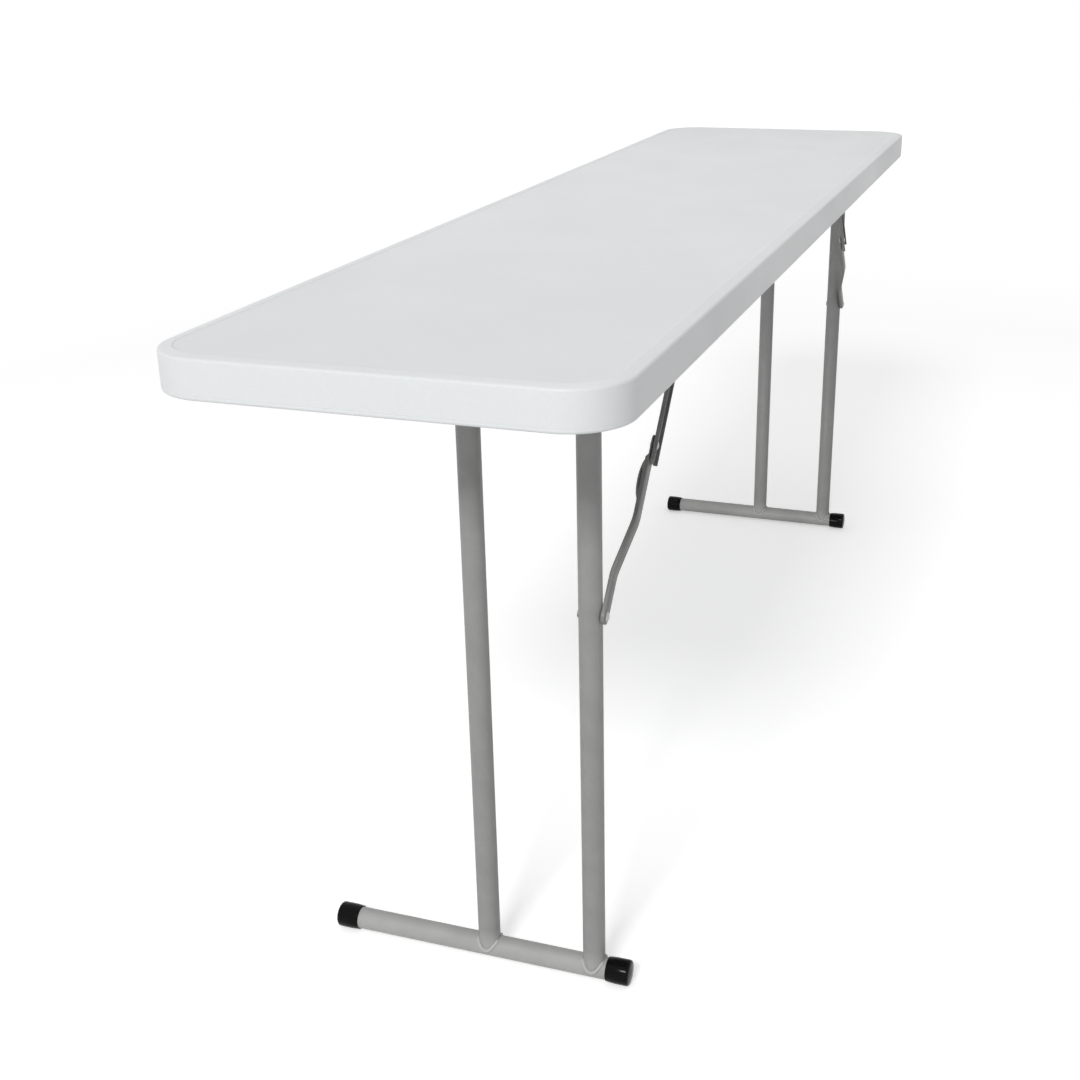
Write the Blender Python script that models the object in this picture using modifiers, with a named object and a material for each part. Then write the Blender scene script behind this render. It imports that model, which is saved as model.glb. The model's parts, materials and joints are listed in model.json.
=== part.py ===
"""A narrow plastic folding table: a blow-moulded top on two steel leg frames that fold up under it.

Metres, +Z up. The origin is on the floor under the middle of the top. +X runs along the table, and the
locking braces are on the front side, -Y. Each frame is built from its hinge line inwards, so the same
functions make the left end, at -X, and the right end, at +X, as mirror images.
"""

import math

import bmesh
import bpy
from mathutils import Vector

# Overall size
TABLE_LENGTH = 1.830
TABLE_WIDTH = 0.457
TABLE_HEIGHT = 0.740

# Clearances and cuts
REST_GAP = 0.0003
OVERRUN = 0.004
FOLD_CLEARANCE = 0.001

# Moulded top
RIM_DEPTH = 0.041
RIM_WIDTH = 0.014
DECK_THICKNESS = 0.014
CORNER_RADIUS = 0.060
TOP_EDGE_RADIUS = 0.004
BOTTOM_EDGE_RADIUS = 0.003
RECESS_FILLET = 0.005
BORDER_WIDTH = 0.015
PANEL_STEP = 0.0008
CORNER_STEPS = 10
EDGE_STEPS = 3

# Side rails, folded from sheet
RAIL_SHEET = 0.0012
RAIL_END_INSET = 0.145
RAIL_SIDE_INSET = 0.0331
RAIL_DEPTH = 0.0262
RAIL_FLANGE = 0.0132
RAIL_LIP = 0.0072

# Screws that hold the rails and the brace anchors to the top
SCREW_SHANK_RADIUS = 0.002
SCREW_LENGTH = 0.0105
SCREW_HEAD_RADIUS = 0.004
SCREW_HEAD_HEIGHT = 0.0022
RAIL_SCREW_END = 0.020
RAIL_SCREW_COUNT = 6

# Leg frames
LEG_RADIUS = 0.0125
LEG_WALL = 0.0012
FRAME_INSET = 0.193
FOOT_SIDE_INSET = 0.0485
FOOT_CENTRE_Y = -0.003
OUTER_LEG_INSET = 0.044
LEG_SPACING = 0.1255
CAP_RADIUS = 0.0145
CAP_LENGTH = 0.028
CAP_END_WALL = 0.003
CAP_DOME = 0.0015
CAP_EDGE_RADIUS = 0.003
CAP_LIP_TAPER = 0.0009
CAP_TAPER_LENGTH = 0.012
CAP_LIP_STEPS = 4
PIVOT_RADIUS = 0.008
PIVOT_WALL = 0.0015
PIVOT_END_REACH = 0.0034
PLUG_HEAD_RADIUS = 0.010
PLUG_HEAD_LENGTH = 0.0025
PLUG_STEM_LENGTH = 0.008
TUBE_SIDES = 24

# Locking braces
LEG_RIVET_DROP = 0.264
ANCHOR_REACH = 0.238
LINK_WIDTH = 0.0165
LINK_SHEET = 0.0015
BEND_RADIUS = 0.001
LOWER_FLANGE = 0.0042
UPPER_FLANGE = 0.0046
LINK_TO_LEG_GAP = 0.0005
JOGGLE = 0.0115
JOGGLE_START_SHARE = 0.21
JOGGLE_SHARE = 0.3775
JOGGLE_BEND_SHARE = 0.18
LOWER_HEAD_REACH = 0.011
LOWER_CHANNEL_END = 0.0155
UPPER_TAIL = 0.020
TAB_START_SHARE = 0.671
TAB_SHARE = 0.215
TAB_DEPTH = 0.0078
TAB_SLOT_WIDTH = 0.0016
TAB_SLOT_MARGIN = 0.010
LINK_WASHER = 0.001

# Rivets
RIVET_RADIUS = 0.003
RIVET_HEAD_RADIUS = 0.0052
RIVET_HEAD_HEIGHT = 0.0022
LEG_RIVET_TAIL_RADIUS = 0.0045
LEG_RIVET_TAIL_HEIGHT = 0.0008
WASHER_RADIUS = 0.0055
SMALL_SIDES = 12
HEAD_STEPS = 3

# Brace anchors
ANCHOR_SHEET = 0.002
ANCHOR_LENGTH = 0.034
ANCHOR_FLANGE = 0.0195
ANCHOR_EAR_DROP = 0.009
ANCHOR_CORNER_RADIUS = 0.008
ANCHOR_SCREW_PITCH = 0.020

# Places worked out from the sizes above
RIM_BOTTOM_Z = TABLE_HEIGHT - RIM_DEPTH
DECK_UNDERSIDE_Z = TABLE_HEIGHT - DECK_THICKNESS
SEAT_Z = DECK_UNDERSIDE_Z - REST_GAP
FOOT_Z = CAP_RADIUS
HINGE_X = TABLE_LENGTH / 2 - FRAME_INSET
HINGE_Z = DECK_UNDERSIDE_Z - CAP_RADIUS - FOLD_CLEARANCE
FOOT_LENGTH = TABLE_WIDTH - 2 * FOOT_SIDE_INSET
OUTER_LEG_Y = FOOT_CENTRE_Y - FOOT_LENGTH / 2 + OUTER_LEG_INSET
INNER_LEG_Y = OUTER_LEG_Y + LEG_SPACING
BRACE_SPAN = math.hypot(ANCHOR_REACH, LEG_RIVET_DROP)
BRACE_SLOPE = math.atan2(LEG_RIVET_DROP, ANCHOR_REACH)
LINK_DIFFERENCE = ANCHOR_REACH - LEG_RIVET_DROP
LOWER_LINK_LENGTH = (BRACE_SPAN - LINK_DIFFERENCE) / 2
UPPER_LINK_LENGTH = (BRACE_SPAN + LINK_DIFFERENCE) / 2
JOGGLE_START = JOGGLE_START_SHARE * LOWER_LINK_LENGTH
JOGGLE_LENGTH = JOGGLE_SHARE * LOWER_LINK_LENGTH
TAB_START = TAB_START_SHARE * LOWER_LINK_LENGTH
TAB_LENGTH = TAB_SHARE * LOWER_LINK_LENGTH
LEG_SIDE_Y = OUTER_LEG_Y - LEG_RADIUS
LOWER_WEB_Y = LEG_SIDE_Y - LINK_TO_LEG_GAP - LOWER_FLANGE
LOWER_HEAD_Y = LOWER_WEB_Y - JOGGLE
UPPER_INNER_Y = LOWER_HEAD_Y - REST_GAP - LINK_WASHER
UPPER_OUTER_Y = UPPER_INNER_Y - UPPER_FLANGE
ANCHOR_EAR_Y = UPPER_OUTER_Y - REST_GAP
ANCHOR_SCREW_Y = ANCHOR_EAR_Y - ANCHOR_SHEET - (ANCHOR_FLANGE - ANCHOR_SHEET) / 2
RAIL_LENGTH = TABLE_LENGTH - 2 * RAIL_END_INSET
RAIL_SCREW_PITCH = (RAIL_LENGTH - 2 * RAIL_SCREW_END) / (RAIL_SCREW_COUNT - 1)
RAIL_FACE_Y = TABLE_WIDTH / 2 - RAIL_SIDE_INSET
RAIL_OUTER_Y = RAIL_FACE_Y + RAIL_SHEET
RAIL_SCREW_Y = RAIL_OUTER_Y + (RAIL_FLANGE - RAIL_SHEET) / 2
RIVET_HOLE_RADIUS = RIVET_RADIUS + REST_GAP
SCREW_HOLE_RADIUS = SCREW_SHANK_RADIUS + REST_GAP

ENDS = (("left", -HINGE_X, 1.0), ("right", HINGE_X, -1.0))


def clear_scene():
    for obj in list(bpy.data.objects):
        bpy.data.objects.remove(obj)


def make_collection(name):
    collection = bpy.data.collections.new(name)
    bpy.context.scene.collection.children.link(collection)
    return collection


def make_material(name, colour, roughness, metallic):
    material = bpy.data.materials.new(name)
    material.use_nodes = True
    shader = material.node_tree.nodes["Principled BSDF"]
    shader.inputs["Base Color"].default_value = (*colour, 1.0)
    shader.inputs["Roughness"].default_value = roughness
    shader.inputs["Metallic"].default_value = metallic
    return material


clear_scene()
PARTS = make_collection("plastic_folding_table")
CUTTERS = make_collection("cutters")
WHITE_PLASTIC = make_material("white_moulded_plastic", (0.80, 0.81, 0.82), 0.45, 0.0)
GREY_PAINT = make_material("grey_powder_coat", (0.27, 0.27, 0.26), 0.42, 0.2)
BLACK_PLASTIC = make_material("black_cap_plastic", (0.012, 0.012, 0.013), 0.28, 0.0)
ZINC = make_material("zinc_plated_steel", (0.55, 0.56, 0.57), 0.35, 1.0)


def place(obj, location, parent=None):
    """Sets the object's world place, and keeps it when the object hangs on a parent."""
    obj.location = Vector(location) - (Vector(parent.location) if parent else Vector())
    obj.parent = parent
    return obj


def make_empty(name, location):
    empty = bpy.data.objects.new(name, None)
    empty.location = location
    PARTS.objects.link(empty)
    return empty


def object_from_bmesh(name, bm, collection):
    bmesh.ops.recalc_face_normals(bm, faces=bm.faces)
    mesh = bpy.data.meshes.new(name)
    bm.to_mesh(mesh)
    bm.free()
    obj = bpy.data.objects.new(name, mesh)
    collection.objects.link(obj)
    return obj


def settle(obj, material=None):
    """Turns the modifiers into plain mesh, so that the curved faces can be shaded smooth."""
    graph = bpy.context.evaluated_depsgraph_get()
    mesh = bpy.data.meshes.new_from_object(obj.evaluated_get(graph))
    obj.modifiers.clear()
    obj.data = mesh
    mesh.name = obj.name
    mesh.shade_smooth()
    mesh.set_sharp_from_angle(angle=math.radians(35))
    if material:
        mesh.materials.clear()
        mesh.materials.append(material)
    return obj


def as_cutter(obj):
    for collection in list(obj.users_collection):
        collection.objects.unlink(obj)
    CUTTERS.objects.link(obj)
    obj.hide_render = True
    obj.display_type = "WIRE"
    return obj


def cut(obj, cutter):
    modifier = obj.modifiers.new("cut_" + cutter.name, "BOOLEAN")
    modifier.operation = "DIFFERENCE"
    modifier.object = cutter
    return obj


def bevel_edges(obj, width, steps):
    modifier = obj.modifiers.new("edges", "BEVEL")
    modifier.width = width
    modifier.segments = steps
    modifier.limit_method = "ANGLE"
    modifier.angle_limit = math.radians(60)
    return obj


def rounded_rectangle(length, width, radius):
    """The outline's points, counter-clockwise, with each corner as an arc."""
    points = []
    for corner in range(4):
        middle_x = (length / 2 - radius) * (1 if corner in (0, 3) else -1)
        middle_y = (width / 2 - radius) * (1 if corner in (0, 1) else -1)
        for step in range(CORNER_STEPS + 1):
            turn = math.radians(90) * (corner + step / CORNER_STEPS)
            points.append((middle_x + radius * math.cos(turn), middle_y + radius * math.sin(turn)))
    return points


def plate(name, outline, thickness, collection):
    """A flat outline made thick: a filled 2D curve, then a mesh with its caps welded on."""
    curve = bpy.data.curves.new(name, "CURVE")
    curve.dimensions = "2D"
    curve.fill_mode = "BOTH"
    curve.extrude = thickness / 2
    spline = curve.splines.new("POLY")
    spline.points.add(len(outline) - 1)
    for point, (x, y) in zip(spline.points, outline):
        point.co = (x, y, 0.0, 1.0)
    spline.use_cyclic_u = True
    guide = bpy.data.objects.new(name + "_outline", curve)
    collection.objects.link(guide)
    graph = bpy.context.evaluated_depsgraph_get()
    bm = bmesh.new()
    bm.from_mesh(bpy.data.meshes.new_from_object(guide.evaluated_get(graph)))
    bpy.data.objects.remove(guide)
    bmesh.ops.remove_doubles(bm, verts=bm.verts, dist=REST_GAP / 10)
    bmesh.ops.dissolve_limit(bm, angle_limit=math.radians(1), verts=bm.verts, edges=bm.edges)
    return object_from_bmesh(name, bm, collection)


def slab(name, length, width, radius, low_z, high_z, collection):
    obj = plate(name, rounded_rectangle(length, width, radius), high_z - low_z, collection)
    obj.location = (0.0, 0.0, (low_z + high_z) / 2)
    return obj


def turned(name, profile, sides, collection):
    """A closed profile of (radius, height) points turned about Z. It runs down its outer side first."""
    mesh = bpy.data.meshes.new(name)
    count = len(profile)
    edges = [(i, (i + 1) % count) for i in range(count)]
    if profile[0][0] == 0 and profile[-1][0] == 0:
        edges.pop()
    mesh.from_pydata([(radius, 0.0, height) for radius, height in profile], edges, [])
    obj = bpy.data.objects.new(name, mesh)
    collection.objects.link(obj)
    screw = obj.modifiers.new("turn", "SCREW")
    screw.steps = sides
    screw.render_steps = sides
    screw.use_merge_vertices = True
    screw.merge_threshold = REST_GAP / 30
    return obj


def along_y(obj):
    """Turns a piece made about Z so that its top points to +Y."""
    obj.rotation_euler = (math.radians(-90), 0.0, 0.0)
    return obj


def pipe(name, radius, wall, length, sides):
    half = length / 2
    inner = radius - wall
    profile = [(radius, half), (radius, -half), (inner, -half), (inner, half)]
    return turned(name, profile, sides, PARTS)


def rod_cutter(name, radius, length, sides):
    half = length / 2
    rod = turned(name, [(0.0, half), (radius, half), (radius, -half), (0.0, -half)], sides, CUTTERS)
    return as_cutter(settle(rod))


def loft(name, sections, collection):
    """A closed solid through sections that have the same number of corners."""
    bm = bmesh.new()
    rings = [[bm.verts.new(corner) for corner in section] for section in sections]
    for low, high in zip(rings, rings[1:]):
        for i in range(len(low)):
            j = (i + 1) % len(low)
            bm.faces.new((low[i], low[j], high[j], high[i]))
    bm.faces.new(rings[0])
    bm.faces.new(rings[-1])
    return object_from_bmesh(name, bm, collection)


def screw_places():
    """Each screw's name, x, y, and the thickness that its head clamps."""
    places = []
    for side, y in (("front", -RAIL_SCREW_Y), ("rear", RAIL_SCREW_Y)):
        for number in range(RAIL_SCREW_COUNT):
            x = (number - (RAIL_SCREW_COUNT - 1) / 2) * RAIL_SCREW_PITCH
            places.append((f"{side}_rail_screw_{number + 1}", x, y, RAIL_SHEET))
    for end, hinge_x, inward in ENDS:
        for number, side in enumerate((-1, 1)):
            x = hinge_x + inward * (ANCHOR_REACH + side * ANCHOR_SCREW_PITCH / 2)
            places.append((f"{end}_anchor_screw_{number + 1}", x, ANCHOR_SCREW_Y, ANCHOR_SHEET))
    return places


def screw_hole_cutter():
    """All screw holes in one cutter, through the rails' and anchors' flanges and into the top."""
    bm = bmesh.new()
    depth = SCREW_LENGTH + REST_GAP + OVERRUN
    for name, x, y, clamped in screw_places():
        made = bmesh.ops.create_cone(
            bm,
            cap_ends=True,
            segments=SMALL_SIDES,
            radius1=SCREW_HOLE_RADIUS,
            radius2=SCREW_HOLE_RADIUS,
            depth=depth,
        )
        middle_z = SEAT_Z - clamped + SCREW_LENGTH + REST_GAP - depth / 2
        bmesh.ops.translate(bm, verts=made["verts"], vec=(x, y, middle_z))
    return as_cutter(object_from_bmesh("screw_holes", bm, CUTTERS))


def round_outline(top):
    """Rounds the top's upper edge, and its lower edge by less, through the edges' bevel weights."""
    weights = top.data.attributes.new("bevel_weight_edge", "FLOAT", "EDGE")
    for edge in top.data.edges:
        heights = [top.data.vertices[index].co.z for index in edge.vertices]
        if min(heights) > 0:
            weights.data[edge.index].value = 1.0
        elif max(heights) < 0:
            weights.data[edge.index].value = BOTTOM_EDGE_RADIUS / TOP_EDGE_RADIUS
    modifier = top.modifiers.new("edges", "BEVEL")
    modifier.width = TOP_EDGE_RADIUS
    modifier.segments = EDGE_STEPS
    modifier.limit_method = "WEIGHT"


def make_top(screw_holes):
    top = slab(
        "tabletop", TABLE_LENGTH, TABLE_WIDTH, CORNER_RADIUS, RIM_BOTTOM_Z, TABLE_HEIGHT, PARTS
    )
    round_outline(top)
    recess = slab(
        "underside_recess",
        TABLE_LENGTH - 2 * RIM_WIDTH,
        TABLE_WIDTH - 2 * RIM_WIDTH,
        CORNER_RADIUS - RIM_WIDTH,
        RIM_BOTTOM_Z - 2 * RECESS_FILLET,
        DECK_UNDERSIDE_Z,
        CUTTERS,
    )
    bevel_edges(recess, RECESS_FILLET, EDGE_STEPS)
    panel = slab(
        "sunken_panel",
        TABLE_LENGTH - 2 * BORDER_WIDTH,
        TABLE_WIDTH - 2 * BORDER_WIDTH,
        CORNER_RADIUS - BORDER_WIDTH,
        TABLE_HEIGHT - PANEL_STEP,
        TABLE_HEIGHT + OVERRUN,
        CUTTERS,
    )
    cut(top, as_cutter(recess))
    cut(top, as_cutter(panel))
    cut(top, screw_holes)
    settle(top, WHITE_PLASTIC)


def rail_outline():
    """The folded sheet's section as (y, z), for the rear rail: a flange out, a web and a lip in."""
    low = SEAT_Z - RAIL_DEPTH
    return [
        (RAIL_FACE_Y, SEAT_Z),
        (RAIL_FACE_Y, low + RAIL_SHEET),
        (RAIL_OUTER_Y - RAIL_LIP, low + RAIL_SHEET),
        (RAIL_OUTER_Y - RAIL_LIP, low),
        (RAIL_OUTER_Y, low),
        (RAIL_OUTER_Y, SEAT_Z - RAIL_SHEET),
        (RAIL_FACE_Y + RAIL_FLANGE, SEAT_Z - RAIL_SHEET),
        (RAIL_FACE_Y + RAIL_FLANGE, SEAT_Z),
    ]


def make_rails(screw_holes):
    pivot_hole = rod_cutter("pivot_hole", PIVOT_RADIUS + REST_GAP, 2 * RAIL_OUTER_Y + OVERRUN, TUBE_SIDES)
    for end, hinge_x, inward in ENDS:
        cutter = pivot_hole.copy()
        cutter.name = end + "_pivot_hole"
        CUTTERS.objects.link(cutter)
        place(along_y(cutter), (hinge_x, 0.0, HINGE_Z))
    bpy.data.objects.remove(pivot_hole)
    for side, facing in (("front", -1), ("rear", 1)):
        sections = []
        for x in (-RAIL_LENGTH / 2, RAIL_LENGTH / 2):
            sections.append([(x, facing * y, z) for y, z in rail_outline()])
        rail = loft(side + "_side_rail", sections, PARTS)
        cut(rail, screw_holes)
        for end, hinge_x, inward in ENDS:
            cut(rail, bpy.data.objects[end + "_pivot_hole"])
        settle(rail, GREY_PAINT)


def dome(radius, height, base):
    """Points of a domed head's half profile, from its crown at the axis down to its rim."""
    points = []
    for step in range(HEAD_STEPS + 1):
        turn = math.radians(90) * step / HEAD_STEPS
        points.append((radius * math.sin(turn), base + height * math.cos(turn)))
    return points


def make_screws():
    for name, x, y, clamped in screw_places():
        profile = [(0.0, SCREW_LENGTH), (SCREW_SHANK_RADIUS, SCREW_LENGTH), (SCREW_SHANK_RADIUS, 0.0)]
        profile.append((SCREW_HEAD_RADIUS, 0.0))
        for radius, height in reversed(dome(SCREW_HEAD_RADIUS, SCREW_HEAD_HEIGHT, 0.0)[:-1]):
            profile.append((radius, -height))
        screw = turned(name, profile, SMALL_SIDES, PARTS)
        place(screw, (x, y, SEAT_Z - clamped - REST_GAP))
        settle(screw, ZINC)


def make_pivot_tube(end, hinge):
    reach = RAIL_OUTER_Y + PIVOT_END_REACH
    tube = along_y(pipe(end + "_pivot_tube", PIVOT_RADIUS, PIVOT_WALL, 2 * reach, TUBE_SIDES))
    place(tube, hinge.location, hinge)
    settle(tube, GREY_PAINT)
    stem = PIVOT_RADIUS - PIVOT_WALL - REST_GAP
    head_low = REST_GAP
    head_high = head_low + PLUG_HEAD_LENGTH
    profile = [
        (0.0, head_high),
        (PLUG_HEAD_RADIUS - CAP_DOME, head_high),
        (PLUG_HEAD_RADIUS, head_high - CAP_DOME),
        (PLUG_HEAD_RADIUS, head_low),
        (stem, head_low),
        (stem, -PLUG_STEM_LENGTH),
        (0.0, -PLUG_STEM_LENGTH),
    ]
    for side, facing in (("front", -1), ("rear", 1)):
        plug = turned(f"{end}_{side}_pivot_plug", profile, TUBE_SIDES, PARTS)
        plug.rotation_euler = (math.radians(-90 * facing), 0.0, 0.0)
        place(plug, (hinge.location.x, facing * reach, hinge.location.z), hinge)
        settle(plug, BLACK_PLASTIC)


def make_leg_tubes(end, hinge):
    """Two upright tubes, each with a saddle cut at both ends, where it is welded to a cross tube."""
    x, y, top_z = hinge.location
    saddle_length = 4 * LEG_RADIUS
    foot_saddle = rod_cutter(end + "_foot_saddle", LEG_RADIUS + REST_GAP, saddle_length, 2 * TUBE_SIDES)
    pivot_saddle = rod_cutter(end + "_pivot_saddle", PIVOT_RADIUS + REST_GAP, saddle_length, 2 * TUBE_SIDES)
    rivet_hole = rod_cutter(end + "_leg_rivet_hole", RIVET_HOLE_RADIUS, saddle_length, SMALL_SIDES)
    place(along_y(rivet_hole), (x, OUTER_LEG_Y, top_z - LEG_RIVET_DROP))
    for name, leg_y in (("outer", OUTER_LEG_Y), ("inner", INNER_LEG_Y)):
        leg = pipe(f"{end}_{name}_leg_tube", LEG_RADIUS, LEG_WALL, top_z - FOOT_Z, TUBE_SIDES)
        place(leg, (x, leg_y, (top_z + FOOT_Z) / 2), hinge)
        place(along_y(foot_saddle), (x, leg_y, FOOT_Z))
        place(along_y(pivot_saddle), (x, leg_y, top_z))
        cut(leg, foot_saddle)
        cut(leg, pivot_saddle)
        if leg_y == OUTER_LEG_Y:
            cut(leg, rivet_hole)
        settle(leg, GREY_PAINT)


def cap_profile():
    """A push-on cap, open downwards: its domed end, its side that thins to the lip, and the bore for the tube."""
    bore = LEG_RADIUS + REST_GAP
    shoulder = CAP_LENGTH - CAP_DOME - CAP_EDGE_RADIUS
    points = [(0.0, CAP_LENGTH)]
    for step in range(HEAD_STEPS + 1):
        turn = math.radians(90) * step / HEAD_STEPS
        radius = CAP_RADIUS - CAP_EDGE_RADIUS * (1 - math.sin(turn))
        points.append((radius, shoulder + CAP_EDGE_RADIUS * math.cos(turn)))
    for step in range(CAP_LIP_STEPS + 1):
        share = step / CAP_LIP_STEPS
        points.append((CAP_RADIUS - CAP_LIP_TAPER * share**2, CAP_TAPER_LENGTH * (1 - share)))
    points.append((bore, 0.0))
    points.append((bore, CAP_LENGTH - CAP_END_WALL))
    points.append((0.0, CAP_LENGTH - CAP_END_WALL))
    return points


def make_foot(end, hinge):
    x = hinge.location.x
    tube_length = FOOT_LENGTH - 2 * (CAP_END_WALL + REST_GAP)
    tube = along_y(pipe(end + "_foot_tube", LEG_RADIUS, LEG_WALL, tube_length, TUBE_SIDES))
    place(tube, (x, FOOT_CENTRE_Y, FOOT_Z), hinge)
    settle(tube, GREY_PAINT)
    for side, facing in (("front", -1), ("rear", 1)):
        cap = turned(f"{end}_{side}_foot_cap", cap_profile(), 2 * TUBE_SIDES, PARTS)
        cap.rotation_euler = (math.radians(-90 * facing), 0.0, 0.0)
        place(cap, (x, FOOT_CENTRE_Y + facing * (FOOT_LENGTH / 2 - CAP_LENGTH), FOOT_Z), hinge)
        settle(cap, BLACK_PLASTIC)


def link_point(inward, along, across, y):
    """A link's own place turned to the brace's slope. Across is positive towards the hinge."""
    x = along * math.cos(BRACE_SLOPE) - across * math.sin(BRACE_SLOPE)
    z = along * math.sin(BRACE_SLOPE) + across * math.cos(BRACE_SLOPE)
    return (inward * x, y, z)


def ramp(share):
    """Rises evenly from 0 to 1, with a short bend at each end."""
    share = min(max(share, 0.0), 1.0)
    if share > 0.5:
        return 1 - ramp(1 - share)
    steepness = 1 / (1 - JOGGLE_BEND_SHARE)
    if share < JOGGLE_BEND_SHARE:
        return steepness * share * share / (2 * JOGGLE_BEND_SHARE)
    return steepness * (share - JOGGLE_BEND_SHARE / 2)


def channel_section(inward, along, half_width, web_y, near_tip_y, far_tip_y, bend):
    """One section of a bent sheet: a web with rounded bends, and an edge reaching to each tip."""
    facing = math.copysign(1, near_tip_y - web_y)
    corners = [(half_width, near_tip_y)]
    for side, turns in ((1, (0, 45, 90)), (-1, (90, 45, 0))):
        for turn in turns:
            across = half_width - bend + bend * math.cos(math.radians(turn))
            depth = bend - bend * math.sin(math.radians(turn))
            corners.append((side * across, web_y + facing * depth))
    corners.append((-half_width, far_tip_y))
    return [link_point(inward, along, across, y) for across, y in corners]


def round_end(radius, steps):
    """Stations round a half-circle end: distance from its middle towards the end, and half width."""
    stations = []
    for step in range(1, steps + 1):
        turn = math.radians(90) * step / steps
        stations.append((radius * math.cos(turn), radius * math.sin(turn)))
    return stations


def lower_web_y(along):
    return LOWER_WEB_Y - JOGGLE * ramp((along - JOGGLE_START) / JOGGLE_LENGTH)


def tab_rise(along):
    """How far the thumb tab stands past the flange, as a share of its height."""
    share = (along - TAB_START) / TAB_LENGTH
    return math.sin(math.pi * share) ** 0.5 if 0 < share < 1 else 0.0


def make_lower_link(end, inward, pivot):
    """The lower brace link: a shallow channel with a joggle, a thumb tab and a flat round head."""
    half = LINK_WIDTH / 2
    head_middle = LOWER_LINK_LENGTH + LOWER_HEAD_REACH - half
    channel_end = LOWER_LINK_LENGTH - LOWER_CHANNEL_END
    stations = [(-reach, width) for reach, width in round_end(half, 6)]
    straight = [step * head_middle / 60 for step in range(1, 60)]
    stations += [(along, half) for along in straight]
    stations += [(head_middle + reach, width) for reach, width in reversed(round_end(half, 6))]
    sections = []
    for along, width in stations:
        web_y = lower_web_y(along)
        flange = LOWER_FLANGE if along < channel_end else LINK_SHEET
        tab = flange + (TAB_DEPTH - LOWER_FLANGE) * tab_rise(along)
        bend = min(BEND_RADIUS, width / 2)
        sections.append(channel_section(inward, along, width, web_y, web_y + tab, web_y + flange, bend))
    link = loft(end + "_lower_brace_link", sections, PARTS)

    pocket_half = half - LINK_SHEET
    pocket_stations = [(-reach, width) for reach, width in round_end(pocket_half, 4)]
    pocket_stations += [(along, pocket_half) for along in straight if along < channel_end]
    pocket_sections = []
    for along, width in pocket_stations:
        floor_y = lower_web_y(along) + LINK_SHEET
        open_y = lower_web_y(along) + TAB_DEPTH + OVERRUN
        corners = ((width, open_y), (width, floor_y), (-width, floor_y), (-width, open_y))
        pocket_sections.append([link_point(inward, along, across, y) for across, y in corners])
    pocket = loft(end + "_lower_link_pocket", pocket_sections, CUTTERS)

    slot_low = LOWER_HEAD_Y + LOWER_FLANGE
    slot_sections = []
    for along in (TAB_START + TAB_SLOT_MARGIN, TAB_START + TAB_LENGTH - TAB_SLOT_MARGIN):
        corners = []
        for across, y in ((half - 2 * LINK_SHEET, slot_low), (half + OVERRUN, slot_low)):
            corners.append(link_point(inward, along, across, y))
        for across in (half + OVERRUN, half - 2 * LINK_SHEET):
            corners.append(link_point(inward, along, across, slot_low + TAB_SLOT_WIDTH))
        slot_sections.append(corners)
    slot = loft(end + "_tab_slot", slot_sections, CUTTERS)

    place(link, pivot.location, pivot)
    for cutter in (pocket, slot):
        place(as_cutter(cutter), pivot.location)
        cut(link, cutter)
    for name, along in (("leg_end", 0.0), ("head", LOWER_LINK_LENGTH)):
        hole = rod_cutter(f"{end}_lower_link_{name}_hole", RIVET_HOLE_RADIUS, 4 * JOGGLE, SMALL_SIDES)
        middle = Vector(link_point(inward, along, 0.0, LOWER_WEB_Y))
        place(along_y(hole), middle + Vector((pivot.location.x, 0.0, pivot.location.z)))
        cut(link, hole)
    settle(link, GREY_PAINT)


def make_upper_link(end, inward, pivot):
    """The upper brace link: a straight shallow channel, open outwards, round at the anchor."""
    half = LINK_WIDTH / 2
    tail = UPPER_LINK_LENGTH + UPPER_TAIL
    stations = [(-tail, half), (0.0, half)]
    stations += [(reach, width) for reach, width in reversed(round_end(half, 6))][1:]
    sections = []
    for along, width in stations:
        bend = min(BEND_RADIUS, width / 2)
        tip = UPPER_OUTER_Y
        sections.append(channel_section(inward, along, width, UPPER_INNER_Y, tip, tip, bend))
    link = loft(end + "_upper_brace_link", sections, PARTS)

    pocket_half = half - LINK_SHEET
    pocket_stations = [(-tail - OVERRUN, pocket_half), (0.0, pocket_half)]
    pocket_stations += [(reach, width) for reach, width in reversed(round_end(pocket_half, 4))][1:]
    floor_y = UPPER_INNER_Y - LINK_SHEET
    open_y = UPPER_OUTER_Y - OVERRUN
    pocket_sections = []
    for along, width in pocket_stations:
        corners = ((width, open_y), (width, floor_y), (-width, floor_y), (-width, open_y))
        pocket_sections.append([link_point(inward, along, across, y) for across, y in corners])
    pocket = loft(end + "_upper_link_pocket", pocket_sections, CUTTERS)

    place(link, pivot.location, pivot)
    place(as_cutter(pocket), pivot.location)
    cut(link, pocket)
    for name, along in (("anchor", 0.0), ("joint", -UPPER_LINK_LENGTH)):
        hole = rod_cutter(f"{end}_upper_link_{name}_hole", RIVET_HOLE_RADIUS, 4 * JOGGLE, SMALL_SIDES)
        middle = Vector(link_point(inward, along, 0.0, UPPER_INNER_Y))
        place(along_y(hole), middle + Vector((pivot.location.x, 0.0, pivot.location.z)))
        cut(link, hole)
    settle(link, GREY_PAINT)


def flat_washer(inner_y):
    """Points of a flat washer's half profile, from the axis to its rim."""
    face_y = inner_y + LINK_WASHER
    return [(0.0, face_y), (WASHER_RADIUS, face_y), (WASHER_RADIUS, inner_y)]


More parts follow.
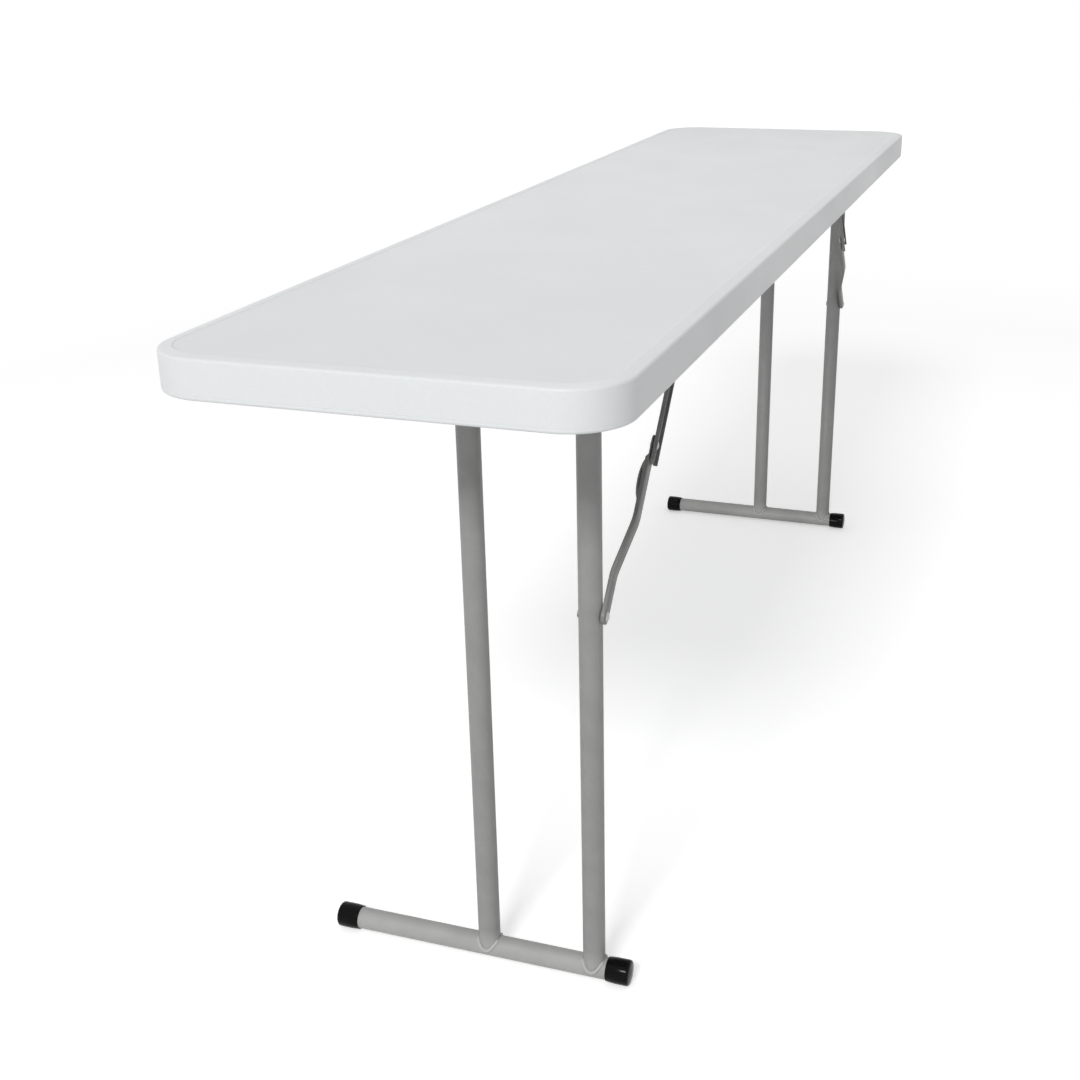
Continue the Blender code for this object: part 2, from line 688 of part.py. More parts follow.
def make_rivet(name, parent, x, z, outer_y, inner_end, has_outer_head):
    """A rivet along Y. The inner end's points run from the axis to the rim that meets the shank."""
    profile = inner_end + [(RIVET_RADIUS, inner_end[-1][1]), (RIVET_RADIUS, outer_y)]
    if has_outer_head:
        head = dome(RIVET_HEAD_RADIUS, RIVET_HEAD_HEIGHT, 0.0)
        profile += [(radius, outer_y - height) for radius, height in reversed(head)]
    else:
        profile += [(0.0, outer_y)]
    rivet = along_y(turned(name, profile, SMALL_SIDES, PARTS))
    place(rivet, (x, 0.0, z), parent)
    settle(rivet, ZINC)


def make_anchor(end, hinge_x, inward, screw_holes):
    """The bracket under the top that carries the upper link: a screwed flange and an ear."""
    x = hinge_x + inward * ANCHOR_REACH
    ear_low = HINGE_Z - ANCHOR_EAR_DROP
    outline = [
        (ANCHOR_EAR_Y, SEAT_Z),
        (ANCHOR_EAR_Y, ear_low),
        (ANCHOR_EAR_Y - ANCHOR_SHEET, ear_low),
        (ANCHOR_EAR_Y - ANCHOR_SHEET, SEAT_Z - ANCHOR_SHEET),
        (ANCHOR_EAR_Y - ANCHOR_FLANGE, SEAT_Z - ANCHOR_SHEET),
        (ANCHOR_EAR_Y - ANCHOR_FLANGE, SEAT_Z),
    ]
    sections = []
    for side in (-1, 1):
        sections.append([(x + side * ANCHOR_LENGTH / 2, y, z) for y, z in outline])
    anchor = loft(end + "_brace_anchor", sections, PARTS)
    bm = bmesh.new()
    bm.from_mesh(anchor.data)
    corners = [edge for edge in bm.edges if is_low_ear_edge(edge, ear_low)]
    bmesh.ops.bevel(
        bm, geom=corners, offset=ANCHOR_CORNER_RADIUS, segments=EDGE_STEPS, profile=0.5, affect="EDGES"
    )
    bm.to_mesh(anchor.data)
    bm.free()
    cut(anchor, screw_holes)
    hole = rod_cutter(end + "_anchor_hole", RIVET_HOLE_RADIUS, 4 * JOGGLE, SMALL_SIDES)
    place(along_y(hole), (x, ANCHOR_EAR_Y, HINGE_Z))
    cut(anchor, hole)
    settle(anchor, GREY_PAINT)


def is_low_ear_edge(edge, ear_low):
    """True for the ear's two lower corners, whose edges run along Y."""
    first, second = (vert.co for vert in edge.verts)
    same_x = abs(first.x - second.x) < REST_GAP
    return same_x and max(abs(first.z - ear_low), abs(second.z - ear_low)) < REST_GAP


def make_end(end, hinge_x, inward, screw_holes):
    hinge = make_empty(end + "_leg_hinge", (hinge_x, 0.0, HINGE_Z))
    rivet_z = HINGE_Z - LEG_RIVET_DROP
    anchor_x = hinge_x + inward * ANCHOR_REACH
    lower_pivot = make_empty(end + "_lower_link_pivot", (hinge_x, 0.0, rivet_z))
    upper_pivot = make_empty(end + "_upper_link_pivot", (anchor_x, 0.0, HINGE_Z))
    joint_x = hinge_x + inward * LOWER_LINK_LENGTH * math.cos(BRACE_SLOPE)
    joint_z = rivet_z + LOWER_LINK_LENGTH * math.sin(BRACE_SLOPE)

    make_pivot_tube(end, hinge)
    make_leg_tubes(end, hinge)
    make_foot(end, hinge)
    make_lower_link(end, inward, lower_pivot)
    make_upper_link(end, inward, upper_pivot)
    make_anchor(end, hinge_x, inward, screw_holes)

    leg_far_side_y = OUTER_LEG_Y + LEG_RADIUS + REST_GAP
    leg_tail = dome(LEG_RIVET_TAIL_RADIUS, LEG_RIVET_TAIL_HEIGHT, leg_far_side_y)
    leg_head_y = LOWER_WEB_Y - REST_GAP
    make_rivet(end + "_leg_rivet", hinge, hinge_x, rivet_z, leg_head_y, leg_tail, True)

    washer = flat_washer(UPPER_INNER_Y)
    joint_head_y = UPPER_INNER_Y - LINK_SHEET - REST_GAP
    make_rivet(end + "_joint_rivet", upper_pivot, joint_x, joint_z, joint_head_y, washer, True)

    tail = dome(RIVET_HEAD_RADIUS, RIVET_HEAD_HEIGHT, LOWER_HEAD_Y + LINK_SHEET + REST_GAP)
    tail_name = end + "_joint_rivet_tail"
    make_rivet(tail_name, lower_pivot, joint_x, joint_z, LOWER_HEAD_Y, tail, False)

    anchor_tail = dome(RIVET_HEAD_RADIUS, RIVET_HEAD_HEIGHT, UPPER_INNER_Y + REST_GAP)
    anchor_head_y = ANCHOR_EAR_Y - ANCHOR_SHEET - REST_GAP
    make_rivet(end + "_anchor_rivet", None, anchor_x, HINGE_Z, anchor_head_y, anchor_tail, True)
    lower_pivot.parent = hinge
    lower_pivot.location = Vector(lower_pivot.location) - Vector(hinge.location)


def main():
    screw_holes = screw_hole_cutter()
    make_top(screw_holes)
    make_rails(screw_holes)
    make_screws()
    for end, hinge_x, inward in ENDS:
        make_end(end, hinge_x, inward, screw_holes)


main()
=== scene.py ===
"""Looks of the narrow plastic folding table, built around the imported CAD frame.

Metres, +Z up, in the frame of the part: +X along the table, the braces on the -Y side, the floor at Z 0.
"""

import json
import math

import bmesh
import bpy
from mathutils import Matrix, Vector, noise

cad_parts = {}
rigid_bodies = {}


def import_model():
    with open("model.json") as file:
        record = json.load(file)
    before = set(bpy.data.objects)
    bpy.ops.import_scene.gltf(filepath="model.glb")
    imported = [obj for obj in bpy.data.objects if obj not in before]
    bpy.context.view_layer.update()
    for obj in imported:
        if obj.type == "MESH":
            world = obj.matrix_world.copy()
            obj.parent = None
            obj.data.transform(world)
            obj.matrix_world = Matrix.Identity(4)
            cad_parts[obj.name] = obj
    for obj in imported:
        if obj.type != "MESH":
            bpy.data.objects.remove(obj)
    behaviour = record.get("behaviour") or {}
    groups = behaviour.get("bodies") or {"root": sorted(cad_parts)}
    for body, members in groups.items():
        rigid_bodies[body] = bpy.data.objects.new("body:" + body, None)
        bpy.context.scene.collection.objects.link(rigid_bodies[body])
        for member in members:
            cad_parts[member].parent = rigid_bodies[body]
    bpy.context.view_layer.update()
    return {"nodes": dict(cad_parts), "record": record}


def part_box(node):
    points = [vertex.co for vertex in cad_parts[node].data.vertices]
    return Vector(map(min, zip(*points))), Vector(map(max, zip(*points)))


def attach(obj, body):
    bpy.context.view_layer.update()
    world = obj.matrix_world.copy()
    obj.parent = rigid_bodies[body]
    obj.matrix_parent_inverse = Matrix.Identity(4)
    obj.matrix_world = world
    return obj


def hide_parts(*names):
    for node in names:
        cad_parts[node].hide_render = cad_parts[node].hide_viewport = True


ENDS = ("left", "right")

# Camera, fitted to the photograph's outline of the top, the legs and the foot tubes
LENS_MM = 48.735
SENSOR_MM = 36.0
CAMERA_SHIFT = -0.028
CAMERA_PLACE = Vector((-1.98899, -0.56562, 1.06758))
CAMERA_YAW = 0.33919
CAMERA_PITCH = -0.38366
CAMERA_ROLL = -0.01637
CAMERA_CLIP = (0.05, 60.0)

# Moulded top
CORNER_RADIUS = 0.060
RIM_WIDTH = 0.014
RIM_DEPTH = 0.041
DECK_THICKNESS = 0.014
DECK_MARGIN = 0.002
TOP_EDGE_RADIUS = 0.003
BOTTOM_EDGE_RADIUS = 0.003
RECESS_FILLET = 0.005
BORDER_WIDTH = 0.013
BORDER_FALL = 0.0018
BORDER_MARGIN = 0.0008
PANEL_STEP = 0.0008
PANEL_STEP_WIDTH = 0.0022
PANEL_MARGIN = 0.004
CORNER_STEPS = 24
LONG_STEPS = 60
SHORT_STEPS = 16
PANEL_STEP_RINGS = 6
TOP_EDGE_STEPS = 8
BOTTOM_EDGE_STEPS = 6
INNER_EDGE_STEPS = 5
FILLET_STEPS = 6

# The mould's parting line, low on the rim: (share of its depth, height above its middle)
PARTING_RISE = 0.0046
PARTING_DEPTH = 0.00014
PARTING_POINTS = ((0, 0.0010), (0, 0.0005), (1, 0.0002), (1, -0.0002), (1 / 3, -0.0006))

# Kiss-off dimples under the deck, in square cells, as rings of (radius, depth)
CELL = 0.045
CELL_COLUMNS = 38
CELL_ROWS = 8
SIDE_POINTS = 4
CELL_POINTS = 4 * SIDE_POINTS
DIMPLE_RINGS = (
    (0.0128, 0.0),
    (0.0118, 0.0003),
    (0.0108, 0.0013),
    (0.0078, 0.0068),
    (0.0068, 0.0080),
    (0.0050, 0.0084),
)

# Points closer than this are one
MERGE_DISTANCE = 1e-5

# Shading of the CAD nodes: edges that turn by fewer degrees than this are smooth
SMOOTH_ANGLE = 36
SMOOTH_MERGE = 2e-6

# Leg frames
LEG_RADIUS = 0.0125
PIVOT_RADIUS = 0.008

# Weld beads: the round section, its small humps, its slow drift and its thinner ends
WELD_RADIUS = 0.0020
BEAD_SIDES = 10
HUMP_SHARE = 0.09
HUMP_LENGTH = 0.0021
DRIFT_SHARE = 0.22
DRIFT_SCALE = 160.0
BEAD_END_SHARE = 0.35

# Weld beads: where they run, in degrees round the leg, and how many points fade out at each end
FOOT_WELD_TURN = 78
FOOT_WELD_STEPS = 96
FOOT_WELD_FADE = 8
FOOT_WELD_GAP = 0.0002
FOOT_WELD_CURVE = 1.28
FOOT_WELD_CORNER = 6
PIVOT_WELD_START = 54
PIVOT_WELD_SWEEP = 72
PIVOT_WELD_STEPS = 60
PIVOT_WELD_FADE = 6
PIVOT_WELD_GAP = 0.0001

# Brace links
LINK_WIDTH = 0.0165
LINK_SHEET = 0.0015
LINK_FLANGE = 0.0042
TAB_START_SHARE = 0.671
TAB_SHARE = 0.215
TAB_DEPTH = 0.0078

# A sheet behind a thumb tab's slot, put there so that the slot shows dark shade instead of the floor through
# it
SHADE_SHEET_GAP = 0.0007
SHADE_SHEET_THICKNESS = 0.0010
SHADE_SHEET_ROOT = 0.0002
SHADE_SHEET_SETBACK = 0.0009
SHADE_SHEET_BEVEL = 0.0003
SHADE_SHEET_START_SHARE = 0.12
SHADE_SHEET_SHARE = 0.76
SHADE_SHEET_STATIONS = 20

# Plastic of the top
PLASTIC_COLOURS = ((0.735, 0.757, 0.765), (0.765, 0.778, 0.785))
PLASTIC_SPECK_COLOUR = (0.70, 0.725, 0.735)
PLASTIC_SPECK_SHARE = 0.35

# Powder coats: the material's name, its colour, its darker patches, and its paler colour near the floor,
# which is painted light on the foot tubes
COATS = {
    "grey_paint": (
        "grey_powder_coat",
        (0.312, 0.314, 0.307),
        (0.282, 0.284, 0.278),
        (0.42, 0.42, 0.41),
    ),
    # A paler copy of the grey coat for the weld beads: painted highlight
    "bead_highlight_paint": (
        "grey_bead_coat_painted_highlight",
        (0.40, 0.40, 0.39),
        (0.36, 0.36, 0.35),
        (0.51, 0.51, 0.50),
    ),
    # A darker copy of the grey coat for the brace links: painted shade
    "brace_shade_paint": (
        "grey_brace_coat_painted_shade",
        (0.230, 0.231, 0.224),
        (0.200, 0.201, 0.195),
        (0.30, 0.30, 0.29),
    ),
}
COAT_SPECK_GAIN = 1.25

# The paler colour near the floor, painted light on the foot tubes, fades out between these heights
FOOT_LIGHT_HEIGHTS = (0.024, 0.042)

# Black plastic of the caps, and zinc plating of the rivets and screws
CAP_COLOURS = ((0.003, 0.003, 0.0032), (0.010, 0.010, 0.0105))
ZINC_COLOURS = ((0.34, 0.35, 0.36), (0.46, 0.47, 0.46))

# Floor, which the camera sees lifted towards white, and more so far from the table
FLOOR_HALF_SIZE = 9
FLOOR_GAP = 0.0002
FLOOR_COLOUR = (0.80, 0.80, 0.80, 1.0)
FLOOR_LIFT = 0.48
FAR_FLOOR_LIFT = 0.68
FAR_FLOOR = (2.5, 5.0)

# Light
WHITE = (1.0, 1.0, 1.0, 1.0)
WORLD_LIGHT = 0.385
WORLD_SLOPE = (-0.10, 0.07, 0.10)
KEY_LAMP = {"place": (-6.5, -0.15, 5.2), "target": (-0.5, 0.0, 0.5), "size": (1.8, 1.4), "power": 300.0}
OVERHEAD_LAMP = {"place": (0.35, 0.25, 2.05), "target": (0.3, 0.0, 0.74), "size": (1.2, 0.6), "power": 3.0}
LOW_LAMP = {"place": (0.25, -0.02, 0.10), "target": (0.72, -0.02, 0.10), "size": (0.2, 0.1), "power": 0.66}

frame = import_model()
NODES = frame["nodes"]
SCENE = bpy.context.scene


def make_camera():
    camera = bpy.data.cameras.new("photo_camera")
    camera.sensor_fit = "HORIZONTAL"
    camera.sensor_width = SENSOR_MM
    camera.lens = LENS_MM
    camera.shift_x = CAMERA_SHIFT
    camera.clip_start, camera.clip_end = CAMERA_CLIP
    obj = bpy.data.objects.new("photo_camera", camera)
    SCENE.collection.objects.link(obj)
    forward = Vector(
        (
            math.cos(CAMERA_PITCH) * math.cos(CAMERA_YAW),
            math.cos(CAMERA_PITCH) * math.sin(CAMERA_YAW),
            math.sin(CAMERA_PITCH),
        )
    )
    right = forward.cross(Vector((0, 0, 1))).normalized()
    up = right.cross(forward)
    rolled_right = math.cos(CAMERA_ROLL) * right + math.sin(CAMERA_ROLL) * up
    rolled_up = math.cos(CAMERA_ROLL) * up - math.sin(CAMERA_ROLL) * right
    matrix = Matrix((rolled_right, rolled_up, -forward)).transposed().to_4x4()
    matrix.translation = CAMERA_PLACE
    obj.matrix_world = matrix
    SCENE.camera = obj


def add_node(tree, kind, links=(), **settings):
    """Adds a node to a tree: for each input, another node's output is linked and a plain value is set."""
    node = tree.nodes.new(kind)
    for key, value in settings.items():
        setattr(node, key, value)
    for socket, value in dict(links).items():
        if isinstance(value, bpy.types.NodeSocket):
            tree.links.new(value, node.inputs[socket])
        else:
            node.inputs[socket].default_value = value
    return node


class Shader:
    """A node material under construction: each method adds nodes and returns their output."""

    def __init__(self, name, **values):
        self.material = bpy.data.materials.new(name)
        self.material.use_nodes = True
        self.tree = self.material.node_tree
        self.bsdf = self.tree.nodes["Principled BSDF"]
        for key, value in values.items():
            self.bsdf.inputs[key.replace("_", " ")].default_value = value
        self.place = self.add("ShaderNodeTexCoord").outputs["Object"]

    def add(self, kind, links=(), **settings):
        return add_node(self.tree, kind, links, **settings)

    def stretched(self, scale):
        return self.add("ShaderNodeMapping", {"Vector": self.place, "Scale": scale}).outputs[0]

    def noise(self, scale, detail, roughness=0.55, place=None):
        links = {
            "Vector": place or self.place,
            "Scale": scale,
            "Detail": detail,
            "Roughness": roughness,
        }
        return self.add("ShaderNodeTexNoise", links).outputs["Fac"]

    def cells(self, scale):
        links = {"Vector": self.place, "Scale": scale, "Randomness": 1.0}
        return self.add("ShaderNodeTexVoronoi", links, feature="SMOOTH_F1").outputs["Distance"]

    def ranged(self, value, old, new):
        links = {"Value": value, 1: old[0], 2: old[1], 3: new[0], 4: new[1]}
        return self.add("ShaderNodeMapRange", links).outputs[0]

    def math(self, operation, a, b):
        return self.add("ShaderNodeMath", {0: a, 1: b}, operation=operation).outputs[0]

    def mix(self, share, a, b):
        node = self.add("ShaderNodeMix", data_type="RGBA")
        self.tree.links.new(share, node.inputs["Factor"])
        for name, value in (("A", a), ("B", b)):
            socket = [s for s in node.inputs if s.name == name and s.type == "RGBA"][0]
            if isinstance(value, bpy.types.NodeSocket):
                self.tree.links.new(value, socket)
            else:
                socket.default_value = (*value, 1.0)
        return [s for s in node.outputs if s.type == "RGBA"][0]

    def bump(self, height, distance, strength, below=None):
        links = {"Height": height, "Distance": distance, "Strength": strength}
        if below is not None:
            links["Normal"] = below
        return self.add("ShaderNodeBump", links).outputs["Normal"]

    def into(self, socket, value):
        self.tree.links.new(value, self.bsdf.inputs[socket])


def moulded_plastic():
    """Off-white polyethylene with a fine pebbled grain and faint flow marks."""
    s = Shader("white_moulded_plastic", Specular_IOR_Level=0.30)
    drift = s.ranged(s.noise(scale=2.2, detail=2.0), (0.3, 0.7), (0.0, 1.0))
    specks = s.ranged(s.noise(scale=420.0, detail=2.0), (0.35, 0.7), (0.0, 1.0))
    speck_share = s.math("MULTIPLY", specks, PLASTIC_SPECK_SHARE)
    s.into("Base Color", s.mix(speck_share, s.mix(drift, *PLASTIC_COLOURS), PLASTIC_SPECK_COLOUR))
    s.into("Roughness", s.ranged(s.noise(scale=9.0, detail=4.0), (0.3, 0.7), (0.30, 0.42)))
    waves = s.noise(scale=14.0, detail=2.0, place=s.stretched((1.0, 2.2, 1.0)))
    ripple = s.bump(waves, distance=0.0012, strength=0.35)
    fine = s.math("MULTIPLY", s.noise(scale=1500.0, detail=2.0), 0.6)
    grain = s.math("ADD", s.cells(scale=900.0), fine)
    s.into("Normal", s.bump(grain, distance=0.00012, strength=0.45, below=ripple))
    return s.material


def powder_coat(name, colour, dark, lit_near_floor):
    """Satin grey powder coat: fine orange peel, uneven gloss, and paler near the floor, which is painted
    light on the foot tubes.
    """
    s = Shader(name, Specular_IOR_Level=0.20)
    mottle = s.ranged(s.noise(scale=38.0, detail=4.0), (0.32, 0.68), (0.0, 1.0))
    specks = s.ranged(s.noise(scale=1300.0, detail=2.0), (0.55, 0.8), (0.0, 0.6))
    speck_colour = tuple(channel * COAT_SPECK_GAIN for channel in colour)
    clean = s.mix(specks, s.mix(mottle, colour, dark), speck_colour)
    height = s.add("ShaderNodeSeparateXYZ", {"Vector": s.place}).outputs["Z"]
    # Paler in uneven patches near the floor: painted light on the foot tubes
    low_down = s.ranged(height, FOOT_LIGHT_HEIGHTS, (1.0, 0.0))
    patches = s.ranged(s.noise(scale=26.0, detail=5.0), (0.25, 0.6), (0.55, 1.0))
    s.into("Base Color", s.mix(s.math("MULTIPLY", low_down, patches), clean, lit_near_floor))
    s.into("Roughness", s.ranged(s.noise(scale=60.0, detail=3.0), (0.3, 0.7), (0.34, 0.46)))
    peel = s.bump(s.noise(scale=520.0, detail=2.0), distance=0.00010, strength=0.5)
    fine = s.noise(scale=2400.0, detail=2.0)
    s.into("Normal", s.bump(fine, distance=0.00003, strength=0.5, below=peel))
    return s.material


def cap_plastic():
    """Glossy black push-on caps with faint scuffs."""
    s = Shader("black_cap_plastic", Specular_IOR_Level=0.09)
    scratches = s.noise(scale=240.0, detail=5.0, roughness=0.7, place=s.stretched((1.0, 5.0, 1.0)))
    scuff = s.ranged(scratches, (0.56, 0.74), (0.0, 1.0))
    s.into("Base Color", s.mix(scuff, *CAP_COLOURS))
    s.into("Roughness", s.ranged(scuff, (0.0, 1.0), (0.14, 0.32)))
    s.into("Normal", s.bump(s.noise(scale=300.0, detail=3.0), distance=0.00008, strength=0.4))
    return s.material


def plated_steel():
    """Zinc plated rivets and screws: pale, a little cloudy, with a fine grain."""
    s = Shader("zinc_plated_steel", Metallic=1.0)
    cloud = s.ranged(s.noise(scale=700.0, detail=4.0), (0.3, 0.7), (0.0, 1.0))
    s.into("Base Color", s.mix(cloud, *ZINC_COLOURS))
    s.into("Roughness", s.ranged(s.noise(scale=1800.0, detail=3.0), (0.3, 0.7), (0.22, 0.42)))
    s.into("Normal", s.bump(s.noise(scale=2600.0, detail=3.0), distance=0.00004, strength=0.5))
    return s.material


def make_materials():
    materials = {use: powder_coat(*coat) for use, coat in COATS.items()}
    materials["white_plastic"] = moulded_plastic()
    materials["black_plastic"] = cap_plastic()
    materials["zinc_steel"] = plated_steel()
    return materials


def smoothing_group():
    """Node group for a modifier: joins the corners of neighbouring faces and shades shallow edges smooth."""
    group = bpy.data.node_groups.new("smooth_by_angle", "GeometryNodeTree")
    group.interface.new_socket("Geometry", in_out="INPUT", socket_type="NodeSocketGeometry")
    group.interface.new_socket("Geometry", in_out="OUTPUT", socket_type="NodeSocketGeometry")
    start = add_node(group, "NodeGroupInput").outputs[0]
    merged = add_node(group, "GeometryNodeMergeByDistance", {"Geometry": start, "Distance": SMOOTH_MERGE})
    turn = add_node(group, "GeometryNodeInputMeshEdgeAngle").outputs["Unsigned Angle"]
    limits = {"A": turn, "B": math.radians(SMOOTH_ANGLE)}
    sharp = add_node(group, "FunctionNodeCompare", limits, data_type="FLOAT", operation="GREATER_THAN")
    normals = {
        "Mesh": merged.outputs["Geometry"],
        "Remove Custom": True,
        "Edge Sharpness": sharp.outputs["Result"],
    }
    shaded = add_node(group, "GeometryNodeSetMeshNormal", normals)
    add_node(group, "NodeGroupOutput", {0: shaded.outputs["Mesh"]})
    return group


def shade_by_angle(obj, group):
    obj.modifiers.new("smooth", "NODES").node_group = group


def dress(group, materials):
    """Gives each CAD node its detailed material and smooth shading."""
    slots = {entry["node"]: entry["material_slot"] for entry in frame["record"]["subparts"]}
    for name, obj in NODES.items():
        # Brace nodes get the darker copy of the grey coat, which is painted shade
        material = materials["brace_shade_paint" if "brace" in name else slots[name]]
        if obj.data.materials:
            for index in range(len(obj.data.materials)):
                obj.data.materials[index] = material
        else:
            obj.data.materials.append(material)
        shade_by_angle(obj, group)


def new_object(name, bm, material, body):
    """A finished piece: outward normals, smooth faces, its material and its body."""
    bmesh.ops.recalc_face_normals(bm, faces=bm.faces)
    for face in bm.faces:
        face.smooth = True
    mesh = bpy.data.meshes.new(name)
    bm.to_mesh(mesh)
    bm.free()
    mesh.materials.append(material)
    obj = bpy.data.objects.new(name, mesh)
    SCENE.collection.objects.link(obj)
    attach(obj, body)
    return obj


def join_rings(bm, first, second):
    """A closed band of faces between two rings of the same number of points."""
    for index in range(len(first)):
        after = (index + 1) % len(first)
        bm.faces.new((first[index], first[after], second[after], second[index]))


def rounded_ring(inset, half_x, half_y):
    """Points round the top at one inset from its edge, the same number at every inset."""
    radius = CORNER_RADIUS - inset
    middle_x, middle_y = half_x - CORNER_RADIUS, half_y - CORNER_RADIUS
    points = []
    for corner, (side_x, side_y) in enumerate(((1, 1), (-1, 1), (-1, -1), (1, -1))):
        for step in range(CORNER_STEPS + 1):
            turn = math.radians(90) * (corner + step / CORNER_STEPS)
            x = side_x * middle_x + radius * math.cos(turn)
            y = side_y * middle_y + radius * math.sin(turn)
            points.append((x, y))
        x, y = points[-1]
        along_x = corner in (0, 2)
        steps = LONG_STEPS if along_x else SHORT_STEPS
        for step in range(1, steps):
            share = step / steps
            if along_x:
                points.append((x - 2 * side_x * middle_x * share, y))
            else:
                points.append((x, y - 2 * side_y * middle_y * share))
    return points


def arc(centre, radius, start, stop, steps):
    """Points (inset, height) round part of a circle, angles in degrees."""
    points = []
    for step in range(steps + 1):
        turn = math.radians(start + (stop - start) * step / steps)
        points.append((centre[0] + radius * math.cos(turn), centre[1] + radius * math.sin(turn)))
    return points


def top_profile(top_z):
    """(inset, height) from the middle panel's edge out over the border and rim, and in to the deck."""
    low_z = top_z - RIM_DEPTH
    deck_z = top_z - DECK_THICKNESS
    step_in = BORDER_WIDTH + PANEL_STEP_WIDTH
    tilt = math.atan(BORDER_FALL / BORDER_WIDTH)
    edge_in = TOP_EDGE_RADIUS * (1 - math.sin(tilt))
    edge_z = top_z - (BORDER_WIDTH - edge_in) * math.tan(tilt) - TOP_EDGE_RADIUS * math.cos(tilt)
    profile = [(step_in + PANEL_MARGIN, top_z - PANEL_STEP)]
    for step in range(PANEL_STEP_RINGS + 1):
        share = step / PANEL_STEP_RINGS
        ease = share * share * (3 - 2 * share)
        profile.append((step_in - PANEL_STEP_WIDTH * share, top_z - PANEL_STEP * (1 - ease)))
    for inset in (BORDER_WIDTH - BORDER_MARGIN, (BORDER_WIDTH + edge_in) / 2):
        profile.append((inset, top_z - (BORDER_WIDTH - inset) * math.tan(tilt)))
    edge_middle = (TOP_EDGE_RADIUS, edge_z)
    profile += arc(edge_middle, TOP_EDGE_RADIUS, 90 + math.degrees(tilt), 180, TOP_EDGE_STEPS)
    profile.append((0.0, (top_z + low_z) / 2))
    for share, rise in PARTING_POINTS:
        profile.append((PARTING_DEPTH * share, low_z + PARTING_RISE + rise))
    outer_low = (BOTTOM_EDGE_RADIUS, low_z + BOTTOM_EDGE_RADIUS)
    profile += arc(outer_low, BOTTOM_EDGE_RADIUS, 180, 270, BOTTOM_EDGE_STEPS)
    inner_low = (RIM_WIDTH - BOTTOM_EDGE_RADIUS, low_z + BOTTOM_EDGE_RADIUS)
    profile += arc(inner_low, BOTTOM_EDGE_RADIUS, 270, 360, INNER_EDGE_STEPS)
    inner_high = (RIM_WIDTH + RECESS_FILLET, deck_z - RECESS_FILLET)
    profile += arc(inner_high, RECESS_FILLET, 180, 90, FILLET_STEPS)
    profile.append((RIM_WIDTH + RECESS_FILLET + DECK_MARGIN, deck_z))
    return profile


def square_ring(middle_x, middle_y):
    """Points round one square cell, evenly spaced along its sides."""
    half, part = CELL / 2, CELL / SIDE_POINTS
    points = []
    for (x, y), (dx, dy) in (
        ((half, -half), (0, 1)),
        ((half, half), (-1, 0)),
        ((-half, half), (0, -1)),
        ((-half, -half), (1, 0)),
    ):
        for step in range(SIDE_POINTS):
            points.append((middle_x + x + dx * part * step, middle_y + y + dy * part * step))
    return points


def add_dimple(bm, middle_x, middle_y, deck_z):
    """One square cell of the deck's underside with a round dimple in it."""
    rings = [[bm.verts.new((x, y, deck_z)) for x, y in square_ring(middle_x, middle_y)]]
    for radius, depth in DIMPLE_RINGS:
        ring = []
        for step in range(CELL_POINTS):
            turn = math.radians(-45 + 360 / CELL_POINTS * step)
            x, y = middle_x + radius * math.cos(turn), middle_y + radius * math.sin(turn)
            ring.append(bm.verts.new((x, y, deck_z + depth)))
        rings.append(ring)
    for outer, inner in zip(rings, rings[1:]):
        join_rings(bm, outer, inner)
    bm.faces.new(rings[-1])


def add_flat_half(bm, middle_x, y, deck_z, facing):
    """The flat half cell at one end of a staggered column."""
    half, part = CELL / 2, CELL / SIDE_POINTS
    offsets = [part * step - half for step in range(SIDE_POINTS + 1)]
    near = [bm.verts.new((middle_x + offset, y, deck_z)) for offset in offsets]
    sides = [bm.verts.new((middle_x + side * half, y + facing * part, deck_z)) for side in (1, -1)]
    far = [bm.verts.new((middle_x - offset, y + facing * half, deck_z)) for offset in offsets]
    bm.faces.new(near + sides[:1] + far + sides[1:])


def dimpled_deck(outline, deck_z):
    """The deck's underside as a mesh of its own, from the cells out to the outline's points."""
    deck = bmesh.new()
    for column in range(CELL_COLUMNS):
        middle_x = (column - (CELL_COLUMNS - 1) / 2) * CELL
        staggered = column % 2
        for row in range(CELL_ROWS - staggered):
            middle_y = (row - (CELL_ROWS - staggered - 1) / 2) * CELL
            add_dimple(deck, middle_x, middle_y, deck_z)
        if staggered:
            for facing in (1, -1):
                add_flat_half(deck, middle_x, -facing * CELL_ROWS * CELL / 2, deck_z, facing)
    bmesh.ops.remove_doubles(deck, verts=deck.verts, dist=MERGE_DISTANCE)
    cells_edge = [edge for edge in deck.edges if edge.is_boundary]
    outer = [deck.verts.new(point) for point in outline]
    outer_edge = [deck.edges.new((a, b)) for a, b in zip(outer, outer[1:] + outer[:1])]
    bmesh.ops.triangle_fill(deck, use_beauty=True, edges=cells_edge + outer_edge)
    mesh = bpy.data.meshes.new("deck")
    deck.to_mesh(mesh)
    deck.free()
    return mesh


def make_moulding(material):
    """The whole hollow-looking moulding, with its border, rim, recess and the dimples under its deck."""
    low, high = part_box("tabletop")
    half_x, half_y, top_z = (high.x - low.x) / 2, (high.y - low.y) / 2, high.z
    bm = bmesh.new()
    rings = []
    for inset, z in top_profile(top_z):
        rings.append([bm.verts.new((x, y, z)) for x, y in rounded_ring(inset, half_x, half_y)])
    for first, second in zip(rings, rings[1:]):
        join_rings(bm, first, second)
    bm.faces.new(rings[0])
    deck = dimpled_deck([vert.co for vert in rings[-1]], top_z - DECK_THICKNESS)
    bm.from_mesh(deck)
    bpy.data.meshes.remove(deck)
    bmesh.ops.remove_doubles(bm, verts=bm.verts, dist=MERGE_DISTANCE)
    piece = new_object("top_moulding", bm, material, "top")
    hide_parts("tabletop")


